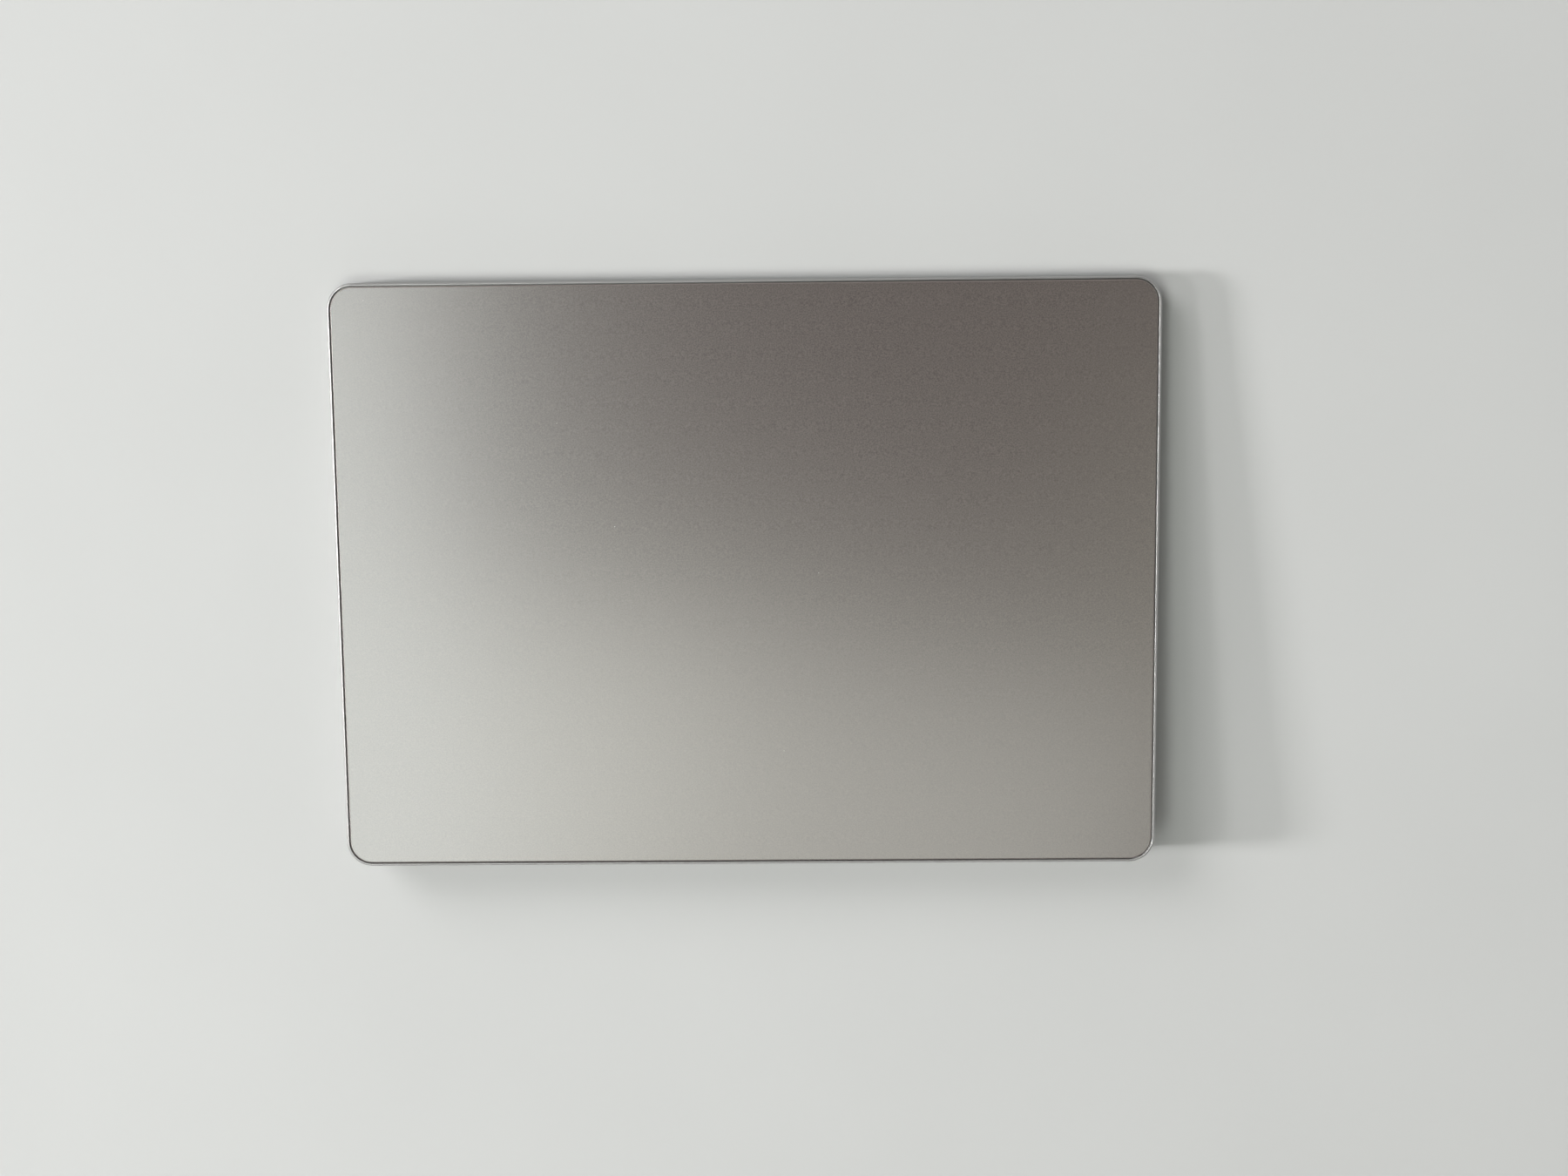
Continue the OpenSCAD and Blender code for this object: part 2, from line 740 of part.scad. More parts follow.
// Extrudes a shape drawn in x and height from one v to another, at a depth
module along_v(x, depth, v0, v1) {
    translate([x, v1, -depth]) rotate([90, 0, 0]) linear_extrude(v1 - v0) children();
}

module port_shell() {
    color("silver") tilted() along_v(0, port_mid, port_v0, port_v1) difference() {
        stadium(port_w, port_h);
        stadium(port_w - 2 * port_t, port_h - 2 * port_t);
    }
}

module port_tongue() {
    color("black") tilted() {
        along_v(0, port_mid, port_v0, port_v0 + tongue_back)
            stadium(port_w - 2 * port_t, port_h - 2 * port_t);
        along_v(0, port_mid, port_v0 + tongue_back - overlap, port_v1 - tongue_recess)
            square([tongue_w, tongue_t], center = true);
    }
}

module port_contacts() {
    color("gold") tilted() for (i = [0 : contact_n - 1], face = [-1, 1])
        along_v((i - (contact_n - 1) / 2) * contact_pitch,
                port_mid - face * (tongue_t + contact_t) / 2,
                port_v1 - contact_recess - contact_l, port_v1 - contact_recess)
            square([contact_w, contact_t], center = true);
}

// The power switch: a slider in the rear wall, a lever behind it, and the switch on the main board
switch_x = pad_w / 2 - switch_inset;
switch_off_x = switch_x - slider_travel / 2;
switch_mid = port_mid;
slot_l = slider_l + slider_travel + 2 * slide_fit;
slot_h = slider_h + 2 * slide_fit;
slider_recess = 0.15;
apron_t = 0.7;
apron_edge = 0.5;
apron_l = slot_l + slider_travel + 2 * apron_edge;
apron_h = slot_h + 2 * apron_edge;
apron_v1 = rear_v - slide_fit;
apron_v0 = apron_v1 - apron_t;
rib_n = 3;
rib_edge = 0.3;
rib_pitch = 0.9;
rib_w = 0.35;
rib_h = 0.12;
housing_l = 9.6;
housing_d = 3;
housing_gap = 0.3;
housing_v1 = apron_v0 - housing_gap;
lever_l = 1.4;
lever_h = 1.1;
lever_reach = 1;

module power_slider() {
    color("gray") tilted() {
        along_v(switch_off_x, switch_mid, apron_v0, apron_v1) stadium(apron_l, apron_h);
        along_v(switch_off_x, switch_mid, apron_v1 - overlap / 2, pad_d / 2 - slider_recess - rib_h)
            stadium(slider_l, slider_h);
        for (i = [0 : rib_n - 1])
            along_v(switch_off_x + (i - (rib_n - 1) / 2) * rib_pitch, switch_mid,
                    pad_d / 2 - slider_recess - rib_h - overlap / 2, pad_d / 2 - slider_recess)
                square([rib_w, slider_h - 2 * rib_edge], center = true);
    }
}

module switch_lever() {
    color("white") tilted()
        along_v(switch_off_x, switch_mid, housing_v1 - lever_reach, apron_v0)
            square([lever_l, lever_h], center = true);
}

module switch_housing() {
    color("silver") tilted() difference() {
        slab(switch_x - housing_l / 2, switch_x + housing_l / 2, housing_v1 - housing_d, housing_v1,
             switch_mid - lever_h, main_top);
        along_v(switch_x, switch_mid, housing_v1 - lever_reach - housing_gap, housing_v1 + overlap)
            square([lever_l + slider_travel + 4 * slide_fit, lever_h + 4 * slide_fit], center = true);
    }
}

// The antenna lies on the base cover, which radio waves pass through, and a leaf spring from the
// main board presses on it
antenna_w = 34;
antenna_d = 6;
antenna_t = 0.12;
antenna_x = -main_w / 4;
antenna_v = main_v0 + main_d / 2;
antenna_y = antenna_v * cos(tilt) - lean / 2;
spring_w = 2;
spring_t = 0.2;
spring_foot = 2.4;
spring_gap = 0.02;

module antenna_film() {
    color("peru") translate([antenna_x - antenna_w / 2, antenna_y - antenna_d / 2, cover_top])
        cube([antenna_w, antenna_d, antenna_t]);
}

module antenna_spring() {
    reach = height_at(antenna_v, main_top + main_t) - cover_top - antenna_t;
    color("gold") tilted() translate([0, antenna_v, -main_top - main_t]) across(antenna_x, spring_w) {
        translate([0, -spring_t]) square([spring_foot, spring_t]);
        translate([0, spring_gap - reach]) square([spring_t, reach - spring_gap]);
    }
}

// The base: cover, its seal, screws hidden under the feet, and the feet
cover_w = pad_w - 2 * (cover_inset + fit);
cover_d = pad_d - 2 * (cover_inset + fit);
cover_r = corner_r - cover_inset - fit;
cover_y = shell_y(foot_h);
foot_x = pad_w / 2 - foot_inset;
foot_y = pad_d / 2 - foot_inset;
foot_seat = 0.2;
foot_chamfer = 0.15;
head_room = 0.05;
seal_w = 1.1;
cover_screw_l = cover_t - foot_seat - head_room - head_h + seal_t + thread_l;

module at_feet() {
    for (x = [-1, 1], y = [-1, 1]) translate([x * foot_x, cover_y + y * foot_y, 0]) children();
}

module base_cover() {
    color("gray") difference() {
        translate([0, cover_y, foot_h]) linear_extrude(cover_t) rounded_rect(cover_w, cover_d, cover_r);
        at_feet() {
            translate([0, 0, foot_h - overlap]) cylinder(r = foot_r + fit, h = overlap + foot_seat);
            translate([0, 0, foot_h]) cylinder(r = head_r + fit, h = foot_seat + head_room + head_h);
            translate([0, 0, foot_h]) cylinder(r = screw_hole_r, h = cover_t + overlap);
        }
    }
}

module cover_seal() {
    color("black") translate([0, cover_y, cover_top]) linear_extrude(seal_t) difference() {
        rounded_rect(cover_w, cover_d, cover_r);
        rounded_rect(cover_w - 2 * seal_w, cover_d - 2 * seal_w, cover_r - seal_w);
    }
}

module cover_screws() {
    color("gray") at_feet() translate([0, 0, foot_h + foot_seat + head_room + head_h])
        rotate([180, 0, 0]) screw(cover_screw_l);
}

module rubber_feet() {
    color("dimgray") at_feet() {
        cylinder(r1 = foot_r - foot_chamfer, r2 = foot_r, h = foot_chamfer);
        translate([0, 0, foot_chamfer]) cylinder(r = foot_r, h = foot_h + foot_seat - foot_chamfer);
    }
}

// The shell: a milled wedge with a pocket for the touch plate above its floor and bays below it
module shell_block() {
    difference() {
        tilted() chamfered_plate(pad_w, pad_d, corner_r, rear_h * 2, rim_chamfer);
        translate([-pad_w, -pad_d, foot_h - deep]) cube([2 * pad_w, 2 * pad_d, deep]);
    }
}

module shell_pockets() {
    translate([0, 0, overlap])
        plate(pad_w - 2 * lip_w, pad_d - 2 * lip_w, corner_r - lip_w, 0, glass_pocket + overlap);
    plate(pad_w - 2 * wall_t, pad_d - 2 * wall_t, corner_r - wall_t, glass_pocket - overlap, floor_top);
    slab(battery_x0 - bay_gap, -battery_x0 + bay_gap, bay_v0, main_v0, ceiling, deep);
    slab(-main_w / 2 - bay_gap, main_w / 2 + bay_gap, battery_v1, rear_v, ceiling, deep);
    slab(-bracket_w / 2 - haptic_room, bracket_w / 2 + haptic_room, core_v0 - haptic_room, bay_v0 + overlap,
         ceiling, deep);
    slab(-window_w / 2, window_w / 2, core_v0 - haptic_room, armature_v1 + haptic_room,
         floor_top - overlap, ceiling + overlap);
}

// Cuts through the floor for the flexes, and through the rear wall for the socket and the slider
module shell_slots() {
    for (s = [[ribbon_x, ribbon_w], [gauge_drop_x, gauge_drop_w], [-gauge_drop_x, gauge_drop_w]])
        slab(s[0] - s[1] / 2 - slot_room, s[0] + s[1] / 2 + slot_room,
             drop_v - drop_slot, drop_v + drop_slot, floor_top - overlap, ceiling + overlap);
    along_v(0, port_mid, rear_v - overlap, pad_d / 2 + overlap) stadium(port_w + 2 * fit, port_h + 2 * fit);
    along_v(switch_x, switch_mid, rear_v - overlap, pad_d / 2 + overlap) stadium(slot_l, slot_h);
}

module shell_bosses() {
    at_flexures() slab(flexure_root, flexure_root + anchor_l, -flexure_d / 2, flexure_d / 2,
                       floor_top - flex_gap, floor_top + floor_t / 2);
    at_posts() translate([0, 0, -main_top]) cylinder(r = post_r, h = standoff_h + floor_t / 2);
}

module shell_screw_holes() {
    at_flexure_screws() translate([0, 0, -ceiling]) cylinder(r = screw_r, h = ceiling);
    at_posts() translate([0, 0, -main_top - overlap]) cylinder(r = screw_r, h = thread_l + fit + overlap);
    at_bracket_screws() translate([0, 0, -ceiling - overlap]) cylinder(r = screw_r, h = floor_t + overlap);
}

module enclosure() {
    color("gray") difference() {
        union() {
            difference() {
                shell_block();
                tilted() {
                    shell_pockets();
                    shell_slots();
                }
                translate([0, cover_y, foot_h - overlap]) linear_extrude(overlap + cover_t + seal_t)
                    rounded_rect(cover_w + 2 * fit, cover_d + 2 * fit, cover_r + fit);
            }
            tilted() shell_bosses();
        }
        tilted() shell_screw_holes();
        at_feet() translate([0, 0, shell_underside - overlap])
            cylinder(r = screw_r, h = overlap + thread_l + fit);
    }
}

enclosure();
base_cover();
cover_seal();
cover_screws();
rubber_feet();
glass_surface();
bonding_sheet();
sensor_board();
touch_controller();
sensor_passives();
sensor_connector();
haptic_armature();
gel_pads();
force_flexures();
flexure_screws();
strain_gauges();
gauge_flexes();
haptic_core();
haptic_bobbins();
haptic_coils();
haptic_bracket();
bracket_screws();
haptic_lead();
battery_cell();
battery_glue();
battery_guard_board();
battery_lead();
main_board();
board_screws();
radio_shield();
radio_chip();
logic_chips();
board_passives();
flex_sockets();
sensor_ribbon();
port_shell();
port_tongue();
port_contacts();
switch_housing();
power_slider();
switch_lever();
antenna_film();
antenna_spring();
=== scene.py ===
import json
import math

import bmesh
import bpy
from mathutils import Euler, Matrix, Vector


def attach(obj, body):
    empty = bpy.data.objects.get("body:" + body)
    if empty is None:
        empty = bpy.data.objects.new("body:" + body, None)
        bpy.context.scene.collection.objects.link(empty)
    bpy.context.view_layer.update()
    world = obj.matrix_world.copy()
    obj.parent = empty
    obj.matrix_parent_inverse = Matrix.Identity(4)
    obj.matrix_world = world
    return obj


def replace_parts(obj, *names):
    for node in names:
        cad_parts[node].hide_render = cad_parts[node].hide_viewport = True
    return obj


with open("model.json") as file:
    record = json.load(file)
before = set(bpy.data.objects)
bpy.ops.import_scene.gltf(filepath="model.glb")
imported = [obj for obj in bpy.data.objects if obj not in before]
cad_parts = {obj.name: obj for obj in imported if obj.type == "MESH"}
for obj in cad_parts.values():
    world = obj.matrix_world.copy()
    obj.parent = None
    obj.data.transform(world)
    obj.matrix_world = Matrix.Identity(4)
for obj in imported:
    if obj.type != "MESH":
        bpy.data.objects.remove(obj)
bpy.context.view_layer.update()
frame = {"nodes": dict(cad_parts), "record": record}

NODES = frame["nodes"]
BODIES = frame["record"]["behaviour"]["bodies"]
BODY_OF = {node: body for body, nodes in BODIES.items() for node in nodes}
SLOT_OF = {part["node"]: part["material_slot"] for part in frame["record"]["subparts"]}
MM = 0.001

# Sizes in millimetres, repeated from the part's source
PAD_D = 114.9
FRONT_H, REAR_H, FOOT_H = 4.9, 10.9, 0.5
RIM_CHAMFER, LIP_DEPTH, GLASS_CHAMFER, GLASS_T = 0.3, 2.0, 0.15, 0.8
WALL_T, SLIDE_FIT, COIL_T = 2.4, 0.1, 0.5

# Sizes in millimetres of details that are made here
# The green patch on the slider: where it ends from the slider's middle, its radius, how far it stands
# proud and the steps round its end
MARK_END, MARK_R, MARK_T, MARK_STEPS = 2.35, 1.0, 0.04, 12
# The wire of the coils, and the inset of the core that it lies on
WIRE_R, WIRE_BEND_R, WIRE_TURNS, WIRE_SIDES = 0.13, 0.5, 11, 8
CORE_INSET = 1.6 * WIRE_R
# The battery's pouch: its corners, the least of them, its pressed seam, and how it swells, as inset and
# share of its height
POUCH_R, POUCH_LEAST_R, SEAM_W, SEAM_T = 1.5, 0.3, 0.5, 0.1
POUCH_SWELL = [(3.2, 1.0), (2.0, 0.96), (1.2, 0.85), (SEAM_W + 0.2, 0.55)]
# The metal caps on the small parts: each one's share of the length, and how far it stands proud
CAP_SHARE, CAP_STEP = 0.25, 0.035
# The screws: a head is a face of more than this area in square millimetres and this many corners
HEAD_AREA, HEAD_CORNERS = 2.5, 12
# The lobed drive in each head
DRIVE_R, DRIVE_LOBE, DRIVE_LOBES, DRIVE_DEPTH, DRIVE_POINTS = 0.46, 0.08, 6, 0.2, 36
# How near a place has to be to count as the same, and a corner to be joined to another
NEAR, WELD = 0.01, 0.001
# The openings in the rear wall lie further than this from the touch face and the table
OPENING_MARGIN = 2.0
# The tongue's free end lies within this of the rear wall's outer face
TONGUE_END = 2.0

# Angles in degrees: the most within a flat face, and the least at a sharp edge and at a steep one
FLAT, SHARP, STEEP = 0.5, 40, 60

# How far the edges of the pieces that show, the small parts and the screws are eased, in millimetres
RIM_EASE, LIP_EASE, BASE_EASE, OPENING_EASE = 0.05, 0.06, 0.20, 0.12
GLASS_EASE, GLASS_BACK_EASE, COVER_EASE, FOOT_EASE = 0.05, 0.04, 0.10, 0.06
SOCKET_EASE, CONTACT_EASE, SLIDER_EASE = 0.10, 0.015, 0.05
CAP_EASE, SCREW_EASE = 0.012, 0.06

# How far the edges of the plain pieces inside are eased, in millimetres
ROUNDED = {
    "sensor_board": 0.06,
    "touch_controller": 0.10,
    "sensor_connector": 0.08,
    "haptic_armature": 0.08,
    "gel_pads": 0.20,
    "force_flexures": 0.06,
    "haptic_core": 0.06,
    "haptic_bobbins": 0.06,
    "haptic_bracket": 0.08,
    "battery_guard_board": 0.06,
    "main_board": 0.06,
    "radio_shield": 0.06,
    "radio_chip": 0.10,
    "logic_chips": 0.10,
    "flex_sockets": 0.10,
    "switch_housing": 0.12,
    "switch_lever": 0.10,
    "antenna_spring": 0.04,
    "antenna_film": 0.03,
    "battery_glue": 0.04,
    "battery_lead": 0.03,
    "bonding_sheet": 0.02,
    "cover_seal": 0.02,
    "gauge_flexes": 0.02,
    "haptic_lead": 0.02,
    "sensor_ribbon": 0.03,
    "strain_gauges": 0.02,
}

# The touch face's frame: x across, y up the slope, and z out of the face, so depths are negative
TILT = math.asin((REAR_H - FRONT_H) / PAD_D)
LEAN = (REAR_H - FOOT_H) * math.tan(TILT)
PAD_AT = Vector((0, -LEAN / 2, (FRONT_H + REAR_H) / 2)) * MM
FROM_PAD = Matrix.Translation(PAD_AT) @ Matrix.Rotation(TILT, 4, "X")
TO_PAD = FROM_PAD.inverted()

# Camera: the photograph's, solved from the four corners of the rim
PHOTO_W = 1800
FOCAL_PX = 2600
SENSOR_W = 36.0
NEAR_CLIP, FAR_CLIP = 0.01, 50
CAMERA_AT = Vector((-14.257, -84.814, 440.372)) * MM
CAMERA_TURN = Euler((math.radians(-11.349), math.radians(0.800), math.radians(179.386)))


def make_camera():
    data = bpy.data.cameras.new("photo_camera")
    data.sensor_fit = "HORIZONTAL"
    data.sensor_width = SENSOR_W
    data.lens = SENSOR_W * FOCAL_PX / PHOTO_W
    data.clip_start = NEAR_CLIP
    data.clip_end = FAR_CLIP
    camera = bpy.data.objects.new("photo_camera", data)
    bpy.context.scene.collection.objects.link(camera)
    camera.matrix_world = Matrix.Translation(CAMERA_AT) @ CAMERA_TURN.to_matrix().to_4x4()
    bpy.context.scene.camera = camera


# Materials
class Nodes:
    """A material's node tree, with short ways to add nodes to it."""

    def __init__(self, name):
        self.material = bpy.data.materials.new(name)
        self.material.use_nodes = True
        self.tree = self.material.node_tree
        self.shader = self.tree.nodes["Principled BSDF"]
        where = self.tree.nodes.new("ShaderNodeTexCoord")
        self.place = where.outputs["Object"]
        self.facing = where.outputs["Normal"]

    def link(self, source, socket):
        self.tree.links.new(source, socket)

    def put(self, socket, value):
        if isinstance(value, bpy.types.NodeSocket):
            self.link(value, socket)
        else:
            socket.default_value = value

    def scaled(self, scale):
        node = self.tree.nodes.new("ShaderNodeMapping")
        self.link(self.place, node.inputs["Vector"])
        node.inputs["Scale"].default_value = scale
        return node.outputs["Vector"]

    def noise(self, size_mm, detail=2.0, rough=0.5, where=None):
        node = self.tree.nodes.new("ShaderNodeTexNoise")
        self.link(where or self.place, node.inputs["Vector"])
        node.inputs["Scale"].default_value = 1 / (size_mm * MM)
        node.inputs["Detail"].default_value = detail
        node.inputs["Roughness"].default_value = rough
        return node.outputs["Fac"]

    def cells(self, size_mm, feature="F1", where=None):
        node = self.tree.nodes.new("ShaderNodeTexVoronoi")
        node.feature = feature
        self.link(where or self.place, node.inputs["Vector"])
        node.inputs["Scale"].default_value = 1 / (size_mm * MM)
        return node.outputs["Distance"]

    def stripes(self, period_mm):
        """Even stripes across X, from 0 to 1. The node's wave is a sine of the place times its rate."""
        node = self.tree.nodes.new("ShaderNodeTexWave")
        self.link(self.place, node.inputs["Vector"])
        node_rate = 20
        node.inputs["Scale"].default_value = math.tau / (node_rate * period_mm * MM)
        return node.outputs["Fac"]

    def ramp(self, value, *stops):
        node = self.tree.nodes.new("ShaderNodeValToRGB")
        self.link(value, node.inputs["Fac"])
        ramp = node.color_ramp
        while len(ramp.elements) < len(stops):
            ramp.elements.new(1.0)
        for element, (at, color) in zip(ramp.elements, stops):
            element.position = at
            grey = (color,) * 3 if isinstance(color, (int, float)) else tuple(color)
            element.color = grey + (1.0,)
        return node.outputs["Color"]

    def span(self, value, low, high):
        """A value from 0 to 1, spread from low to high."""
        node = self.tree.nodes.new("ShaderNodeMapRange")
        self.link(value, node.inputs["Value"])
        node.inputs["To Min"].default_value = low
        node.inputs["To Max"].default_value = high
        return node.outputs["Result"]

    def upward(self):
        """How far a face looks up, from 0 on a wall to 1 on a flat top."""
        node = self.tree.nodes.new("ShaderNodeSeparateXYZ")
        self.link(self.facing, node.inputs[0])
        return node.outputs["Z"]

    def marked(self, mark):
        """The value of a face's mark, which is 0 on a mesh without it."""
        node = self.tree.nodes.new("ShaderNodeAttribute")
        node.attribute_name = mark
        return node.outputs["Fac"]

    def pad_depth(self):
        """How deep a point lies below the touch face, in millimetres."""
        dot = self.tree.nodes.new("ShaderNodeVectorMath")
        dot.operation = "DOT_PRODUCT"
        self.link(self.place, dot.inputs[0])
        dot.inputs[1].default_value = TO_PAD[2][:3]
        rise = self.math("ADD", dot.outputs["Value"], TO_PAD[2][3])
        return self.math("MULTIPLY", rise, -1 / MM)

    def math(self, how, a, b):
        node = self.tree.nodes.new("ShaderNodeMath")
        node.operation = how
        self.put(node.inputs[0], a)
        self.put(node.inputs[1], b)
        return node.outputs["Value"]

    def mix(self, share, a, b):
        """Two colours mixed."""
        node = self.tree.nodes.new("ShaderNodeMix")
        node.data_type = "RGBA"
        self.put(node.inputs[0], share)
        for socket, value in ((node.inputs[6], a), (node.inputs[7], b)):
            if isinstance(value, tuple):
                value = value + (1.0,)
            self.put(socket, value)
        return node.outputs[2]

    def bump(self, height, depth_mm, strength=1.0):
        node = self.tree.nodes.new("ShaderNodeBump")
        node.inputs["Strength"].default_value = strength
        node.inputs["Distance"].default_value = depth_mm * MM
        self.link(height, node.inputs["Height"])
        self.link(node.outputs["Normal"], self.shader.inputs["Normal"])

    def surface(self, color, rough, metal=0.0, **more):
        """Sets the shader and gives the material. With metal as None, that socket stays as it is."""
        if isinstance(color, tuple):
            color = color + (1.0,)
        self.put(self.shader.inputs["Base Color"], color)
        self.put(self.shader.inputs["Roughness"], rough)
        if metal is not None:
            self.shader.inputs["Metallic"].default_value = metal
        for name, value in more.items():
            self.shader.inputs[name.replace("_", " ")].default_value = value
        return self.material


def shade(color, factor):
    return tuple(c * factor for c in color)


def frosted_glass():
    """Grey glass with a fine grain, a few pale specks, and a ground edge that is rough and painted
    paler, partly as painted light in the gap round the glass.
    """
    n = Nodes("frosted_glass")
    grey = (0.100, 0.082, 0.076)
    grain = n.noise(0.25, 3, 0.6)
    color = n.mix(n.ramp(grain, (0.30, 0.0), (0.70, 1.0)), shade(grey, 0.68), shade(grey, 1.20))
    specks = n.math("LESS_THAN", n.cells(9.0), 0.010)
    color = n.mix(n.math("MULTIPLY", specks, 0.5), color, (0.55, 0.53, 0.50))
    # The ground edge is rough, and its paler colour is partly painted light that lifts the shade in the
    # gap round the glass
    ground_edge_and_painted_light = n.ramp(n.upward(), (0.80, 1.0), (0.97, 0.0))
    color = n.mix(ground_edge_and_painted_light, color, shade(grey, 1.8))
    rough = n.mix(ground_edge_and_painted_light, n.span(grain, 0.17, 0.30), (0.6, 0.6, 0.6))
    n.bump(n.noise(0.40, 1, 0.5), 0.020, 0.25)
    return n.surface(color, rough, Specular_IOR_Level=1.0, IOR=1.65)


def anodised(name, color, rough=0.36, metal=0.85):
    """Blasted and dyed metal, with a brighter cut along the rim round the touch plate, and the wall
    inside the rim painted pale and matte as painted light in the gap round the glass.
    """
    n = Nodes(name)
    broad = n.noise(20, 2)
    blast = n.noise(0.10, 3, 0.65)
    tint = n.mix(n.span(broad, 0.0, 1.0), shade(color, 0.94), shade(color, 1.04))
    tint = n.mix(n.span(blast, 0.1, 0.5), tint, shade(color, 0.80))
    cut = n.ramp(n.pad_depth(), (RIM_CHAMFER + 0.02, 1.0), (RIM_CHAMFER + 0.08, 0.0))
    tint = n.mix(cut, tint, shade(color, 1.8))
    # Painted light: the marked wall inside the rim is made pale and not metal, to lift the shade in the
    # gap round the glass
    painted_gap_light = n.marked("painted_gap_light")
    tint = n.mix(painted_gap_light, tint, shade(color, 2.4))
    n.bump(blast, 0.006, 0.4)
    n.link(n.span(painted_gap_light, metal, 0.0), n.shader.inputs["Metallic"])
    return n.surface(tint, n.span(blast, rough - 0.05, rough + 0.07), None)


def moulded(name, color, rough=0.55, grain_mm=0.25, depth_mm=0.02):
    """Plastic or rubber with a fine moulded texture."""
    n = Nodes(name)
    grain = n.noise(grain_mm, 2, 0.6)
    tint = n.mix(n.span(n.noise(14, 3), 0.1, 0.9), shade(color, 0.92), shade(color, 1.05))
    tint = n.mix(n.span(grain, 0.0, 0.45), tint, shade(color, 0.82))
    n.bump(grain, depth_mm, 0.5)
    return n.surface(tint, n.span(grain, rough - 0.06, rough + 0.08))


def rolled_metal(name, color, rough=0.32):
    """Sheet metal with fine rolling lines along X."""
    n = Nodes(name)
    lines = n.noise(0.2, 2, 0.6, n.scaled((0.03, 1, 1)))
    tint = n.mix(n.span(lines, 0.0, 1.0), shade(color, 0.85), shade(color, 1.05))
    n.bump(lines, 0.004, 0.3)
    return n.surface(tint, n.span(lines, rough - 0.06, rough + 0.10), 1.0)


def film(name, color):
    """Thin film with copper tracks along Y showing through it."""
    n = Nodes(name)
    tracks = n.ramp(n.stripes(0.7), (0.35, 0.0), (0.50, 1.0))
    tint = n.mix(tracks, shade(color, 0.72), color)
    n.bump(tracks, 0.02, 0.4)
    return n.surface(tint, n.span(n.noise(2, 2), 0.28, 0.42))


def circuit_board():
    """Green solder mask over a net of tracks, with bare round pads."""
    n = Nodes("circuit_board")
    mask = (0.012, 0.075, 0.032)
    ways = n.ramp(n.cells(1.6, "DISTANCE_TO_EDGE", n.scaled((1, 1, 0.05))), (0.05, 1.0), (0.09, 0.0))
    pads = n.ramp(n.cells(2.4, "F1", n.scaled((1, 1, 0.05))), (0.07, 1.0), (0.09, 0.0))
    tint = n.mix(ways, mask, (0.030, 0.130, 0.055))
    tint = n.mix(pads, tint, (0.62, 0.42, 0.16))
    n.bump(n.mix(0.5, ways, pads), 0.03, 0.5)
    return n.surface(tint, n.span(n.noise(3, 2), 0.22, 0.38))


def chip():
    n = Nodes("chip_black")
    grain = n.noise(0.08, 2, 0.6)
    n.bump(grain, 0.006, 0.5)
    tint = n.mix(n.span(n.noise(2, 2), 0.0, 1.0), (0.012, 0.012, 0.013), (0.028, 0.028, 0.030))
    return n.surface(tint, n.span(grain, 0.42, 0.58))


def wound_copper():
    n = Nodes("coil_copper")
    enamel = n.noise(0.5, 2, 0.6)
    tint = n.mix(n.span(enamel, 0.0, 1.0), (0.38, 0.12, 0.04), (0.66, 0.25, 0.09))
    n.bump(enamel, 0.01, 0.3)
    return n.surface(tint, n.span(enamel, 0.38, 0.24), 0.85)


def pouch():
    n = Nodes("battery_pouch")
    creases = n.noise(3.5, 3, 0.55)
    tint = n.mix(n.span(creases, 0.0, 1.0), (0.50, 0.50, 0.51), (0.66, 0.66, 0.67))
    n.bump(creases, 0.10, 0.25)
    return n.surface(tint, n.span(creases, 0.34, 0.50), 0.6)


def fired_ceramic():
    n = Nodes("passive_ceramic")
    grain = n.noise(0.2, 2)
    cap = n.marked("cap")
    tint = n.mix(n.span(grain, 0.0, 1.0), (0.30, 0.20, 0.11), (0.46, 0.34, 0.21))
    tint = n.mix(cap, tint, (0.60, 0.60, 0.60))
    n.link(cap, n.shader.inputs["Metallic"])
    return n.surface(tint, n.span(grain, 0.35, 0.55), None)


def clear_gel(name, color):
    n = Nodes(name)
    mottle = n.noise(1.5, 2)
    tint = n.mix(n.span(mottle, 0.0, 1.0), shade(color, 0.85), shade(color, 1.08))
    n.bump(mottle, 0.03, 0.3)
    return n.surface(tint, n.span(mottle, 0.18, 0.30))


